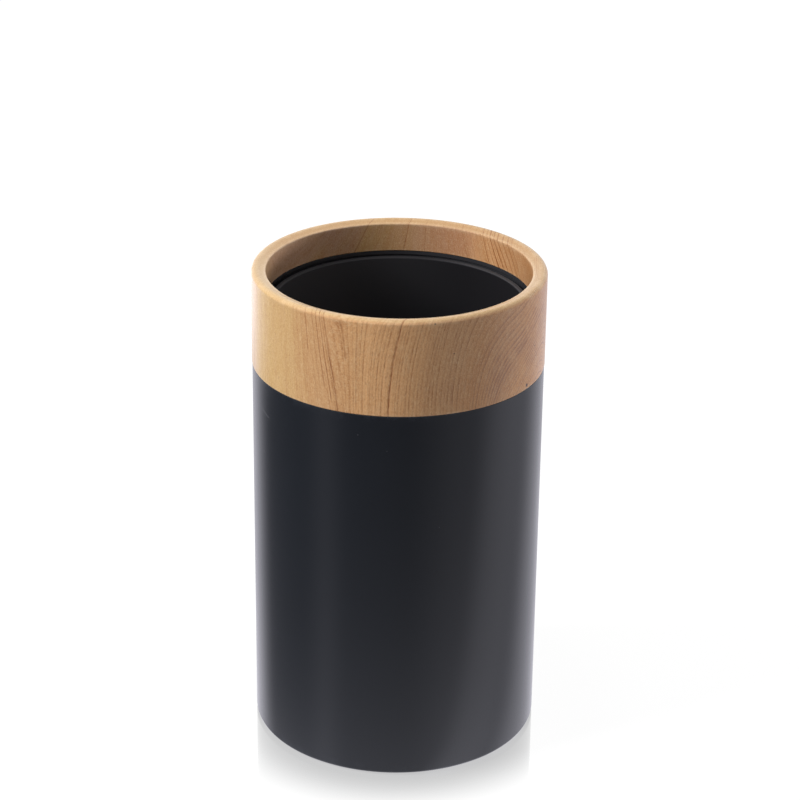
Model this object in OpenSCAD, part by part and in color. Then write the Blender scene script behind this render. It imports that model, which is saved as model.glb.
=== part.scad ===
// Bathroom tumbler: a black double-wall cup with a turned wooden collar round its mouth.
// Lengths are in millimetres. The origin is the centre of the face it stands on, and +Z is up.

/* [Overall] */
// Height from the surface it stands on to the top of the wooden lip
total_h = 127; // [100:1:160]
// Outside diameter of the wooden collar, the widest part
collar_d = 75; // [70:0.5:90]

/* [Wooden collar] */
// Height of the wooden band, seen from outside
collar_h = 25.1; // [20:0.1:34]
// Height of the wood inside the mouth, above the black neck
collar_inner_h = 8.3; // [5:0.1:11]
// Thickness of the wood round the mouth
collar_wall = 3.75; // [3.4:0.05:5]
// Radius of the lip's outer edge
lip_outer_round = 1.2; // [0.4:0.1:1.5]
// How far the lip's crest lies within its outside
crest_in = 1.6; // [1.6:0.1:2.2]
// How far the lip falls from its crest to its inner edge
lip_fall = 0.75; // [0.2:0.05:1.2]
// Radius of the lip's inner edge
lip_inner_round = 0.4; // [0.2:0.1:0.8]
// Chamfer round the collar's lower outer edge, which draws the seam
collar_chamfer = 0.3; // [0.1:0.05:0.5]

/* [Outer sleeve] */
// How far the sleeve's outside lies within the collar's
sleeve_inset = 0.1; // [0:0.05:0.4]
// Wall of the sleeve
sleeve_wall = 1.9; // [1.6:0.1:2.2]
// Radius of the outer edge at the base
base_round = 1; // [0.4:0.1:1.4]
// Chamfer round the shoulder that the collar stands on
shoulder_chamfer = 0.15; // [0.05:0.05:0.4]
// Wall of the neck that the collar is glued over
neck_wall = 1.2; // [1:0.05:1.3]
// Height of the thick root that joins the neck to the wall
neck_root_h = 2.5; // [2:0.1:4]
// Height of the lip at the top of the neck, over the cup's rim
neck_lip_h = 1; // [0.8:0.1:2]
// How far the neck's lip reaches over the cup's rim
neck_lip_reach = 0.3; // [0.2:0.05:0.5]
// How far the neck's lip lies behind the wood of the mouth
neck_lip_setback = 0.15; // [0.05:0.05:0.3]
// Number of glue grooves round the neck
glue_grooves = 3; // [1:1:4]
// Depth of a glue groove
glue_groove_depth = 0.3; // [0.1:0.05:0.5]
// Width of a glue groove
glue_groove_w = 1; // [0.6:0.1:1.6]

/* [Inner cup] */
// Wall of the inner cup
cup_wall = 1.2; // [1:0.05:2]
// How much the cup's radius shrinks from its flange to its floor
cup_draft = 0.7; // [0.2:0.1:2]
// Thickness of the cup's floor
cup_floor = 1.8; // [1.2:0.1:3]
// Height of the cup's inside floor above the surface that the tumbler stands on
cup_floor_z = 8; // [7.4:0.1:14]
// Radius between the cup's wall and floor, inside
cup_floor_round = 4; // [2:0.5:8]
// Radius of the rim's inner edge
rim_round = 0.8; // [0.3:0.1:0.9]
// Thickness of the flange that presses the seal
flange_t = 1.2; // [0.8:0.1:2]
// Radius of the round boss under the floor, which centres the cup
boss_r = 20; // [14:0.5:21]
// Height of the boss
boss_h = 1.2; // [0.6:0.1:1.6]

/* [Neck seal] */
// Thickness of the ring between the flange and the neck's root
seal_t = 1.2; // [0.8:0.1:2]

/* [Base cover] */
// How far the cover lies within the sleeve's bottom edge
cover_inset = 0.3; // [0.1:0.1:0.8]
// Thickness of the cover's plate
cover_t = 2; // [1.6:0.1:2.6]
// Wall of the cover's skirt and of its centring ring
cover_wall = 1.6; // [1.2:0.1:2.4]
// Height of the skirt above the plate
skirt_h = 3; // [2.4:0.1:4]
// Height of the bead that snaps into the sleeve
bead_h = 0.3; // [0.15:0.05:0.5]
// Number of ribs between the ring and the skirt
rib_count = 8; // [4:4:16]
// Thickness of a rib
rib_t = 1.2; // [0.8:0.1:2]

/* [Foot pads] */
// Diameter of a pad
pad_d = 9; // [6:0.5:12]
// Thickness of a pad
pad_t = 1.4; // [1.2:0.1:1.8]
// Distance from a pad's edge to the cover's edge
pad_margin = 4.9; // [2:0.1:9]
// How far the pads hold the sleeve's bottom edge off the surface
pad_stand = 0.5; // [0.2:0.05:0.6]

/* [Clearances] */
// Gap for the glue between the neck and the collar, and over the neck's end
glue_gap = 0.1; // [0.05:0.05:0.2]
// Radial gap between the cup and the neck
cup_fit = 0.05; // [0.02:0.01:0.15]
// Gap over the cup's rim
rim_gap = 0.05; // [0.02:0.01:0.2]
// Radial gap round the flange, the seal, the cover, the boss and the pads
part_gap = 0.1; // [0.05:0.01:0.2]

/* [Hidden] */

// Facets of a full turn, and steps of a quarter round
turn_steps = 160;
round_steps = 6;
// Overrun of every cut past the face that it starts from
overrun = 1;

// Radii of the wood, from outside to inside
collar_r = collar_d / 2;
mouth_r = collar_r - collar_wall;
crest_r = collar_r - crest_in;

// The lip falls inwards at this angle, and its inner round touches both the fall and the bore
fall_angle = atan2(lip_fall, crest_r - mouth_r);
lip_inner_z = total_h - lip_fall - lip_inner_round * (1 - sin(fall_angle)) / cos(fall_angle);

// Radii of the neck, outwards from the mouth
neck_lip_r = mouth_r + neck_lip_setback;
neck_bore_r = neck_lip_r + neck_lip_reach;
neck_r = neck_bore_r + neck_wall;
rebate_r = neck_r + glue_gap;

// Radii of the sleeve and of what fills it
sleeve_r = collar_r - sleeve_inset;
sleeve_bore_r = sleeve_r - sleeve_wall;
cup_r = neck_bore_r - cup_fit;
cup_bore_r = cup_r - cup_wall;
flange_r = sleeve_bore_r - part_gap;
cover_r = sleeve_bore_r - part_gap;

// Heights of the collar, the neck and the seal, down from the lip
shoulder_z = total_h - collar_h;
collar_step_z = total_h - collar_inner_h;
neck_top_z = collar_step_z - glue_gap;
neck_lip_z = neck_top_z - neck_lip_h;
rim_z = neck_lip_z - rim_gap;
root_z = shoulder_z - neck_root_h;
flange_top_z = root_z - seal_t;
flange_z = flange_top_z - flange_t;

// Heights of the base, up from the surface
cover_z = pad_stand + cover_inset;
plate_top_z = cover_z + cover_t;
cup_bottom_z = cup_floor_z - cup_floor;
boss_z = cup_bottom_z - boss_h;
skirt_top_z = plate_top_z + skirt_h;

// The bead stands two heights below the skirt's top, and its groove is one gap larger all round
bead_z = skirt_top_z - 2 * bead_h;
groove_depth = bead_h + part_gap;

// The ring round the boss, and the height of the ribs beside it
ring_bore_r = boss_r + part_gap;
ring_r = ring_bore_r + cover_wall;
rib_top_z = plate_top_z + skirt_h / 2;

// Pads sit in recesses that leave them standing out by the stand and the inset
pad_r = pad_d / 2;
pad_place_r = cover_r - pad_margin - pad_r;
pad_recess = pad_t - pad_stand - cover_inset;
pad_turn = 90;

sleeve_colour = [0.10, 0.10, 0.11];
cup_colour = [0.14, 0.14, 0.15];
cover_colour = [0.18, 0.18, 0.19];
wood_colour = [0.80, 0.60, 0.42];
seal_colour = [0.55, 0.56, 0.58];
pad_colour = [0.30, 0.30, 0.31];

// Points of an arc round [x, z], from angle a to angle b
function arc(x, z, r, a, b) =
    [for (i = [0 : round_steps]) let (t = a + (b - a) * i / round_steps) [x + r * cos(t), z + r * sin(t)]];

// A solid of revolution about Z from an outline in radius and height
module revolved(outline) {
    rotate_extrude($fn = turn_steps) polygon(outline);
}

// A revolved band that cuts or fills from radius r1 to r2 and from height z1 to z2
module band(r1, r2, z1, z2) {
    revolved([[r1, z1], [r2, z1], [r2, z2], [r1, z2]]);
}

module outer_sleeve() {
    groove_pitch = (neck_top_z - shoulder_z) / (glue_grooves + 1);
    color(sleeve_colour) difference() {
        revolved(concat(
            [[sleeve_bore_r, pad_stand]],
            arc(sleeve_r - base_round, pad_stand + base_round, base_round, -90, 0),
            [[sleeve_r, shoulder_z - shoulder_chamfer],
             [sleeve_r - shoulder_chamfer, shoulder_z],
             [neck_r, shoulder_z],
             [neck_r, neck_top_z],
             [neck_lip_r, neck_top_z],
             [neck_lip_r, neck_lip_z],
             [neck_bore_r, neck_lip_z],
             [neck_bore_r, root_z],
             [sleeve_bore_r, root_z],
             [sleeve_bore_r, bead_z + bead_h + groove_depth],
             [sleeve_bore_r + groove_depth, bead_z + bead_h],
             [sleeve_bore_r + groove_depth, bead_z - bead_h],
             [sleeve_bore_r, bead_z - bead_h - groove_depth]]));
        for (i = [1 : glue_grooves])
            let (z = shoulder_z + i * groove_pitch)
                band(neck_r - glue_groove_depth, neck_r + overrun, z - glue_groove_w / 2, z + glue_groove_w / 2);
    }
}

module wood_collar() {
    color(wood_colour) revolved(concat(
        [[rebate_r, shoulder_z],
         [collar_r - collar_chamfer, shoulder_z],
         [collar_r, shoulder_z + collar_chamfer]],
        arc(collar_r - lip_outer_round, total_h - lip_outer_round, lip_outer_round, 0, 90),
        [[crest_r, total_h]],
        arc(mouth_r + lip_inner_round, lip_inner_z, lip_inner_round, 90 + fall_angle, 180),
        [[mouth_r, collar_step_z],
         [rebate_r, collar_step_z]]));
}

module inner_cup() {
    outer_round = cup_floor_round + cup_wall;
    foot_r = cup_r - cup_draft;
    foot_bore_r = foot_r - cup_wall;
    color(cup_colour) revolved(concat(
        [[0, boss_z],
         [boss_r, boss_z],
         [boss_r, cup_bottom_z]],
        arc(foot_r - outer_round, cup_bottom_z + outer_round, outer_round, -90, 0),
        [[cup_r, flange_z],
         [flange_r, flange_z],
         [flange_r, flange_top_z],
         [cup_r, flange_top_z],
         [cup_r, rim_z]],
        arc(cup_bore_r + rim_round, rim_z - rim_round, rim_round, 90, 180),
        [[cup_bore_r, flange_z]],
        arc(foot_bore_r - cup_floor_round, cup_floor_z + cup_floor_round, cup_floor_round, 0, -90),
        [[0, cup_floor_z]]));
}

module neck_seal() {
    color(seal_colour) band(cup_r + part_gap, flange_r, flange_top_z, root_z);
}

module base_cover() {
    color(cover_colour) difference() {
        union() {
            revolved([[0, cover_z],
                    [cover_r, cover_z],
                    [cover_r, bead_z - bead_h],
                    [cover_r + bead_h, bead_z],
                    [cover_r, bead_z + bead_h],
                    [cover_r, skirt_top_z],
                    [cover_r - cover_wall, skirt_top_z],
                    [cover_r - cover_wall, plate_top_z],
                    [ring_r, plate_top_z],
                    [ring_r, cup_bottom_z],
                    [ring_bore_r, cup_bottom_z],
                    [ring_bore_r, plate_top_z],
                    [0, plate_top_z]]);
            for (i = [0 : rib_count - 1])
                rotate([0, 0, i * 360 / rib_count])
                    translate([ring_bore_r + cover_wall / 2, -rib_t / 2, plate_top_z - cover_t / 2])
                        cube([cover_r - cover_wall - ring_bore_r, rib_t, rib_top_z - plate_top_z + cover_t / 2]);
        }
        for (i = [1 : 4]) at_pad(i) translate([0, 0, cover_z - overrun])
            cylinder(r = pad_r + part_gap, h = overrun + pad_recess, $fn = turn_steps);
    }
}

// Moves its children to the place of pad number i, on the diagonals
module at_pad(i) {
    rotate([0, 0, (i - 0.5) * pad_turn]) translate([pad_place_r, 0, 0]) children();
}

module foot_pad(i) {
    color(pad_colour) at_pad(i) cylinder(r = pad_r, h = pad_t, $fn = turn_steps);
}

outer_sleeve();
wood_collar();
inner_cup();
neck_seal();
base_cover();
foot_pad(1);  // foot_pad_1
foot_pad(2);  // foot_pad_2
foot_pad(3);  // foot_pad_3
foot_pad(4);  // foot_pad_4
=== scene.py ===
"""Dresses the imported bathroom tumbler: finer surfaces, finishes, light and camera.

Everything is in metres in the part's own frame: the origin is the middle of the face that it stands on,
+Z is up, and the camera looks along +Y. Angles round the tumbler are measured from the side that faces
the camera, and grow towards +X.
"""

import math
from typing import NamedTuple

import bpy
import numpy as np
from mathutils import Matrix, Vector

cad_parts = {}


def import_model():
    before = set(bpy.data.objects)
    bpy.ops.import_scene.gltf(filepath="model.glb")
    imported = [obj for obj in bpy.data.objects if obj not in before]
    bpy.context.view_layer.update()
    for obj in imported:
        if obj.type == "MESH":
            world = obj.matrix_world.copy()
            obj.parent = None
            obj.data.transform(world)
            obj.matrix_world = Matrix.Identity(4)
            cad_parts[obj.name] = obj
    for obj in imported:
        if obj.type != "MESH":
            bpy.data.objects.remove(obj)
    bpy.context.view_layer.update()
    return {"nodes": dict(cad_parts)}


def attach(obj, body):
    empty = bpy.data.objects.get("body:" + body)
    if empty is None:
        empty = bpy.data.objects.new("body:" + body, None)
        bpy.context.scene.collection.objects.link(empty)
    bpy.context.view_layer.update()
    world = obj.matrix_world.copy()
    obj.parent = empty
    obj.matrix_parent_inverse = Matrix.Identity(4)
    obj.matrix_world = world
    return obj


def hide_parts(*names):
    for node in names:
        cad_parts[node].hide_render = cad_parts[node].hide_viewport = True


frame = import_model()

MM = 0.001
FULL_TURN = 2 * math.pi


# Camera, fitted to the rim, the seam and the base in the photograph. Its angles are in radians.

LENS_MM = 111.34
SENSOR_MM = 36.0
CAMERA_PLACE = (0.0, -585.60 * MM, 347.47 * MM)
CAMERA_PITCH = 0.41416
CAMERA_YAW = 0.00095
CAMERA_ROLL = 0.01209
NEAREST_SEEN = 10 * MM


def shown(name, data):
    """A new object in the scene for a mesh, a camera or a light."""
    made = bpy.data.objects.new(name, data)
    bpy.context.scene.collection.objects.link(made)
    return made


def camera():
    """A camera that looks along +Y, turned by the yaw, tipped down by the pitch and rolled about its axis."""
    yaw, pitch = CAMERA_YAW, CAMERA_PITCH
    right = Vector((math.cos(yaw), -math.sin(yaw), 0))
    ahead = Vector((math.sin(yaw) * math.cos(pitch), math.cos(yaw) * math.cos(pitch), -math.sin(pitch)))
    up = right.cross(ahead)
    across = right * math.cos(CAMERA_ROLL) + up * math.sin(CAMERA_ROLL)
    upward = up * math.cos(CAMERA_ROLL) - right * math.sin(CAMERA_ROLL)
    data = bpy.data.cameras.new("photo_camera")
    data.lens = LENS_MM
    data.sensor_width = SENSOR_MM
    data.sensor_fit = "HORIZONTAL"
    data.clip_start = NEAREST_SEEN
    eye = shown("photo_camera", data)
    turned_view = Matrix((across, upward, -ahead)).transposed().to_4x4()
    eye.matrix_world = Matrix.Translation(CAMERA_PLACE) @ turned_view
    bpy.context.scene.camera = eye


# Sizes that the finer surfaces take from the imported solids

SAME_PLACE = 0.01 * MM
LEVEL_DIGITS = 6


class Solid:
    """Radii and heights of the corners of a round CAD node, read from its mesh."""

    def __init__(self, node):
        points = np.array([v.co for v in frame["nodes"][node].data.vertices], float)
        self.radii = np.hypot(points[:, 0], points[:, 1])
        self.heights = points[:, 2]
        self.inside = self.radii.min()
        self.outside = self.radii.max()
        self.low = self.heights.min()
        self.high = self.heights.max()

    def radii_at(self, height):
        """Smallest and largest radius of the corners that lie at one height."""
        chosen = self.radii[np.abs(self.heights - height) < SAME_PLACE]
        return chosen.min(), chosen.max()

    def heights_at(self, radius):
        """Lowest and highest corner that lie on one radius."""
        levels = self.levels_at(radius)
        return levels[0], levels[-1]

    def levels_at(self, radius):
        """All heights of the corners that lie on one radius, from the lowest up."""
        return np.unique(np.round(self.heights[np.abs(self.radii - radius) < SAME_PLACE], LEVEL_DIGITS))


collar = Solid("wood_collar")
sleeve = Solid("outer_sleeve")
cup = Solid("inner_cup")

mouth_r = collar.inside
step_z = collar.heights_at(mouth_r)[0]
rebate_r = collar.radii_at(collar.low)[0]
sleeve_bore_r = sleeve.radii_at(sleeve.low)[0]
root_z = sleeve.levels_at(sleeve_bore_r)[-1]
neck_bore_r = sleeve.radii_at(root_z)[0]
neck_r = sleeve.radii_at(sleeve.high)[1]
neck_lip_r = sleeve.inside
neck_lip_z = sleeve.heights_at(neck_lip_r)[0]
flange_z, flange_top_z = cup.heights_at(cup.outside)
cup_r = cup.radii_at(flange_z)[0]
boss_r = cup.radii_at(cup.low)[1]
cup_bottom_z = cup.heights_at(boss_r)[1]

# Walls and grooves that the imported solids' corners don't give by themselves

GLUE_GROOVE = 0.3 * MM
BEAD_GROOVE = 0.4 * MM
CUP_WALL = 1.2 * MM
CUP_FLOOR = 1.8 * MM
CUP_DRAFT = 0.7 * MM
CUP_FLOOR_ROUND = 4.0 * MM
CREST_IN = 1.6 * MM
LIP_FALL = 0.75 * MM

# Painted light on the liner grows from its right to its shaded left side, and a painted highlight on its rim
# is stronger at the right. The neck is painted lighter over its first millimetres, where it shows in the
# mouth.
PAINTED_LIGHT_STEP = (-20 * MM, 28 * MM)
RIM_HIGHLIGHT_LEFT, RIM_HIGHLIGHT_RIGHT = 0.2, 0.8
RIM_STEP, RIM_FACING_STEP = (5 * MM, 22 * MM), (0.2, 0.7)
NECK_LIGHT_OVER = 2 * MM

# Rounding of the edges

LIP_OUTER_ROUND = 1.2 * MM
LIP_INNER_ROUND = 0.4 * MM
CREST_ROUND = 2.0 * MM
SEAM_ROUND = 0.3 * MM
STEP_ROUND = 0.2 * MM
BASE_ROUND = 1.0 * MM
SHOULDER_ROUND = 0.15 * MM
RIM_ROUND = 0.4 * MM
FINE_ROUND = 0.08 * MM
ROUND_STEPS, FINE_STEPS = 8, 3

# Grids of the finer surfaces: the longest step along an outline, and the columns round the piece
WOOD_GRID = (0.6 * MM, 720)
BLACK_GRID = (2.0 * MM, 320)


# Outlines in radius and height

class Outline(NamedTuple):
    """Points of an outline, their outward normals, and a mask that is 1 on the rounded corners.

    An outline runs counterclockwise as seen with the radius to the right and the height upwards, so that its
    outward normal is its direction turned a quarter clockwise.
    """

    points: np.ndarray
    normals: np.ndarray
    edge: np.ndarray
    closed: bool


def clockwise(direction):
    """A direction turned a quarter clockwise."""
    return np.array([direction[1], -direction[0]])


def rounded(corners, closed=True):
    """An outline through (radius, height, rounding) corners, with an arc at each.

    A corner without a rounding gets the fine one. An arc starts rounding * tan(half the turn) before its
    corner and ends as far after it. Its points lie at equal angles round a centre that is one rounding to the
    side that the outline turns to.
    """
    corner = np.array([c[:2] for c in corners], float)
    ahead = np.roll(corner, -1, 0) - corner
    ahead /= np.linalg.norm(ahead, axis=1)[:, None]
    points, normals, edge = [], [], []
    last = len(corners) - 1
    for i, (_, _, rounding) in enumerate((*row, FINE_ROUND)[:3] for row in corners):
        before, after = ahead[i - 1], ahead[i]
        if not closed and i in (0, last):
            points.append(corner[i][None])
            normals.append(clockwise(after if i == 0 else before)[None])
            edge.append([0.0])
            continue
        turn = math.atan2(before[0] * after[1] - before[1] * after[0], float(before @ after))
        start = corner[i] - before * rounding * math.tan(abs(turn) / 2)
        steps = ROUND_STEPS if rounding > FINE_ROUND else FINE_STEPS
        angle = turn * np.linspace(0, 1, steps + 1)[:, None]
        facing = clockwise(before) * np.cos(angle) + before * np.sin(angle)
        side = math.copysign(rounding, turn)
        points.append(start - clockwise(before) * side + facing * side)
        normals.append(facing)
        edge.append(np.ones(steps + 1))
    return Outline(np.concatenate(points), np.concatenate(normals), np.concatenate(edge), closed)


def divided(outline, pitch):
    """The same outline, with straight stretches longer than the pitch cut into equal steps."""
    following = np.roll(outline.points, -1, 0)
    cuts = np.maximum(1, np.ceil(np.linalg.norm(following - outline.points, axis=1) / pitch)).astype(int)
    if not outline.closed:
        cuts[-1] = 1
    index = np.repeat(np.arange(len(cuts)), cuts)
    step = np.arange(len(index)) - np.repeat(np.cumsum(cuts) - cuts, cuts)
    share = (step / cuts[index])[:, None]
    after = (index + 1) % len(cuts)
    normals = outline.normals[index] * (1 - share) + outline.normals[after] * share
    return Outline(outline.points[index] * (1 - share) + outline.points[after] * share,
                   normals / np.linalg.norm(normals, axis=1)[:, None],
                   np.where(step == 0, outline.edge[index], 0.0), outline.closed)


# Surfaces of revolution

class Surface(NamedTuple):
    """Points, outward normals, edge mask and faces of a piece."""

    points: np.ndarray
    normals: np.ndarray
    edge: np.ndarray
    faces: list


def turned(outline, pitch, columns):
    """A surface of revolution of an outline, whose straight stretches are divided first.

    Point (i, j) is (r_i sin a_j, -r_i cos a_j, z_i), where a_j is j / columns of a turn. A closed outline
    joins its last ring to its first. An open one starts and ends on the axis, and each of its ends is one
    point with a fan of triangles.
    """
    outline = divided(outline, pitch)
    angle = FULL_TURN * np.arange(columns) / columns
    around = np.stack([np.sin(angle), -np.cos(angle)], 1)

    def swept(pairs):
        flat = pairs[:, None, :1] * around[None]
        up = np.broadcast_to(pairs[:, None, 1:], flat.shape[:2] + (1,))
        return np.concatenate([flat, up], 2).reshape(-1, 3)

    kept = slice(None) if outline.closed else slice(1, -1)
    rings, pairs, edge = outline.points[kept], outline.normals[kept], outline.edge[kept]
    low = np.arange(len(rings) if outline.closed else len(rings) - 1)
    column = np.arange(columns)
    beside = (column + 1) % columns
    high = (low + 1) % len(rings)
    quads = np.stack([low[:, None] * columns + column, low[:, None] * columns + beside,
                      high[:, None] * columns + beside, high[:, None] * columns + column], 2).reshape(-1, 4)
    points, normals, edge = swept(rings), swept(pairs), np.repeat(edge, columns)
    if outline.closed:
        return Surface(points, normals, edge, quads.tolist())
    count = len(points)
    top = (len(rings) - 1) * columns
    ends = np.array([[0, 0, outline.points[0, 1]], [0, 0, outline.points[-1, 1]]])
    facing = np.array([[0, 0, -1.0], [0, 0, 1.0]])
    first = np.stack([np.full(columns, count), beside, column], 1)
    final = np.stack([np.full(columns, count + 1), top + column, top + beside], 1)
    return Surface(np.concatenate([points, ends]), np.concatenate([normals, facing]),
                   np.concatenate([edge, [0.0, 0.0]]), quads.tolist() + first.tolist() + final.tolist())


def write(mesh, name, values):
    """Writes one number or one vector for each point of a mesh, as an attribute."""
    kind, field = ("FLOAT", "value") if values.ndim == 1 else ("FLOAT_VECTOR", "vector")
    mesh.attributes.new(name, kind, "POINT").data.foreach_set(field, values.astype(np.float32).ravel())


def piece(name, surface, node, slot, material, **attributes):
    """Makes the mesh object of a surface, which rides with the body and stands for its CAD node."""
    mesh = bpy.data.meshes.new(name)
    mesh.from_pydata(surface.points.tolist(), [], surface.faces)
    for attribute, values in {"edge": surface.edge, **attributes}.items():
        write(mesh, attribute, values)
    mesh.materials.append(material)
    mesh.shade_smooth()
    mesh.normals_split_custom_set_from_vertices(surface.normals.tolist())
    made = shown(name, mesh)
    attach(made, "root")
    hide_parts(node)


# Growth layers of the wood: lengths in millimetres, slopes as they are. A step is where a smooth step begins
# and ends.

LAYER_FACING = math.radians(63)
FAN_SLOPE, FAN_X, FAN_LEFT_WIDTH, FAN_RIGHT_WIDTH = -0.165, -17.5, 8.0, 4.5
SWEEP, SWEEP_STEP = 0.0047, (-13.0, -1.0)
ARCH_SLOPE, ARCH_STEP = 0.26, (14.0, 34.0)
APEX_REACH, APEX_STEP = 4.0, (50.0, 95.0)
BACK_SLOPE, BACK_X, BACK_WIDTH = -0.45, 7.5, 12.0
BACK_LEAN, LEAN_STEP = -0.2, (20.0, 26.0)
BLEND_STEP = (-15.0, 25.0)


def smooth(value, low, high):
    """A smooth step from 0 at low to 1 at high."""
    share = np.clip((value - low) / (high - low), 0, 1)
    return share * share * (3 - 2 * share)


def bell(value, middle, width):
    """A bell, exp(-((value - middle) / width) ** 2)."""
    return np.exp(-((value - middle) / width) ** 2)


def growth(points):
    """Place of each point in the wood, in millimetres: through the growth layers, sideways along one, and up.

    The layers are sheets that face LAYER_FACING, moved through by a shift that changes with the height. On
    the camera's side the fan leans them round one x, the arch leans them the other way to the right of it,
    the sweep bends them in between, and the reach moves the tops of the arches to the right. On the far side
    they lean by a slope of x round the collar's middle height. A smooth step of y blends the two.
    """
    x, y, z = points.T / MM
    angle = np.arctan2(x, -y)
    up = z - collar.low / MM
    middle = (collar.high - collar.low) / 2 / MM
    through = x * math.sin(LAYER_FACING) - y * math.cos(LAYER_FACING)
    sideways = x * math.cos(LAYER_FACING) + y * math.sin(LAYER_FACING)
    arch = smooth(x, *ARCH_STEP)
    sweep = SWEEP * smooth(x, *SWEEP_STEP) * (1 - arch)
    fan = FAN_SLOPE * bell(x, FAN_X, np.where(x < FAN_X, FAN_LEFT_WIDTH, FAN_RIGHT_WIDTH))
    reach = APEX_REACH * smooth(np.degrees(angle), *APEX_STEP)
    front = (fan + ARCH_SLOPE * arch) * up + sweep * up ** 2 - reach
    slope = BACK_SLOPE * np.tanh((x - BACK_X) / BACK_WIDTH) + BACK_LEAN * smooth(x, *LEAN_STEP)
    back = slope * (up - middle)
    share = smooth(y, *BLEND_STEP)
    return np.stack([through - front * (1 - share) - back * share, sideways, up], 1)


# Where the lip, the painted highlight on its inner edge, the painted shade on its slope at the back, the bore
# and the painted shade line at the seam begin and end
LIP_STEP, BORE_STEP = (0.3, 0.85), (0.5, 0.95)
LIP_EDGE_WIDTH, LIP_EDGE_SOFT = 0.45 * MM, 0.5 * MM
LIP_EDGE_LOSS, LIP_EDGE_LOSS_STEP = 0.75, (math.radians(60), math.radians(105))
SEAM_STEP = (0.06 * MM, 0.16 * MM)
SLOPE_SOFT, SLOPE_STEP = 0.6 * MM, (math.radians(75), math.radians(125))
# The angle at which the lip's painted light is strongest
LIP_LIGHT_FACING = math.radians(-60)


def rims(points):
    """Three masks of painted light: the lip's inner edge highlight, the seam's shade line, its back slope's
    shade.

    Each is a smooth step of the radius or the height, or such steps multiplied with one of the angle.
    """
    x, y, z = points.T
    radius = np.hypot(x, y)
    aside = np.abs(np.arctan2(x, -y))
    # Painted highlight along the lip's inner edge, weaker towards the back
    edge_glint = smooth(mouth_r + LIP_EDGE_WIDTH + LIP_EDGE_SOFT - radius, 0, LIP_EDGE_SOFT)
    top = collar.high - LIP_FALL
    edge_glint = edge_glint * smooth(z, top - 2 * LIP_EDGE_SOFT, top - LIP_EDGE_SOFT)
    edge_glint = edge_glint * (1 - LIP_EDGE_LOSS * smooth(aside, *LIP_EDGE_LOSS_STEP))
    seam = 1 - smooth(z - collar.low, *SEAM_STEP)
    slope = smooth(collar.outside - CREST_IN - radius, -SLOPE_SOFT, SLOPE_SOFT)
    slope = slope * smooth(aside, *SLOPE_STEP)
    return np.stack([edge_glint, seam, slope], 1)


def faces(points, normals):
    """Three masks of the collar: the lip, the bore, and the share of the lip's painted light.

    The lip is a smooth step of the normal's upward part, and the bore one of its part towards the axis. The
    lip's painted light is strongest at one angle, towards the key lamp, and fades with the cosine of the
    angle from there.
    """
    x, y, z = normals.T
    angle = np.arctan2(points[:, 0], -points[:, 1])
    outward = x * np.sin(angle) - y * np.cos(angle)
    lip = smooth(z, *LIP_STEP)
    bore = smooth(-outward, *BORE_STEP)
    return np.stack([lip, bore, 0.5 + 0.5 * np.cos(angle - LIP_LIGHT_FACING)], 1)


# Shader helpers

WHITE = (1.0, 1.0, 1.0)


class Graph:
    """Adds nodes to a node tree and wires them. An input is a value or another node's output."""

    def __init__(self, tree):
        self.tree = tree

    def feed(self, value, socket):
        """Links an output to a socket, or sets the socket to a value. A colour is red, green and blue."""
        if isinstance(value, bpy.types.NodeSocket):
            self.tree.links.new(value, socket)
        else:
            socket.default_value = (*value, 1.0) if socket.type == "RGBA" else value

    def give(self, node, inputs):
        """Feeds the named inputs of a node."""
        for name, value in inputs.items():
            self.feed(value, node.inputs[name])

    def add(self, kind, inputs=None, **settings):
        node = self.tree.nodes.new(kind)
        for name, value in settings.items():
            setattr(node, name, value)
        self.give(node, inputs or {})
        return node

    def math(self, operation, *values, clamp=False):
        node = self.add("ShaderNodeMath", dict(enumerate(values)), operation=operation, use_clamp=clamp)
        return node.outputs[0]

    def many(self, operation, first, *others):
        """A sum, a product or the largest of several values."""
        for other in others:
            first = self.math(operation, first, other)
        return first

    def times(self, *values):
        return self.many("MULTIPLY", *values)

    def largest(self, values):
        return self.many("MAXIMUM", *values)

    def vector(self, operation, *values, output="Vector"):
        return self.add("ShaderNodeVectorMath", dict(enumerate(values)), operation=operation).outputs[output]

    def parts(self, vector):
        """The X, Y and Z of a vector."""
        return self.add("ShaderNodeSeparateXYZ", {"Vector": vector}).outputs

    def attribute(self, name, output="Fac"):
        return self.add("ShaderNodeAttribute", attribute_name=name).outputs[output]

    def ramp(self, value, low, high, to_low=0.0, to_high=1.0):
        """A smooth step from to_low to to_high as the value goes from low to high."""
        node = self.add("ShaderNodeMapRange", {
            "Value": value, "From Min": low, "From Max": high, "To Min": to_low, "To Max": to_high,
        }, interpolation_type="SMOOTHSTEP")
        return node.outputs["Result"]

    def noise(self, vector, scale, detail=2.0, roughness=0.5):
        node = self.add("ShaderNodeTexNoise", {
            "Vector": vector, "Scale": scale, "Detail": detail, "Roughness": roughness,
        })
        return node.outputs["Fac"]

    def stretched_noise(self, vector, stretch, scale, detail=2.0, roughness=0.5):
        """Noise of a vector whose X, Y and Z are scaled by a stretch first."""
        return self.noise(self.vector("MULTIPLY", vector, stretch), scale, detail, roughness)

    def mix(self, share, first, second, blend="MIX"):
        """A mix of two colours, which are inputs 6 and 7 of the node, and the mix its output 2."""
        node = self.add("ShaderNodeMix", {0: share, 6: first, 7: second}, data_type="RGBA", blend_type=blend)
        return node.outputs[2]


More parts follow.
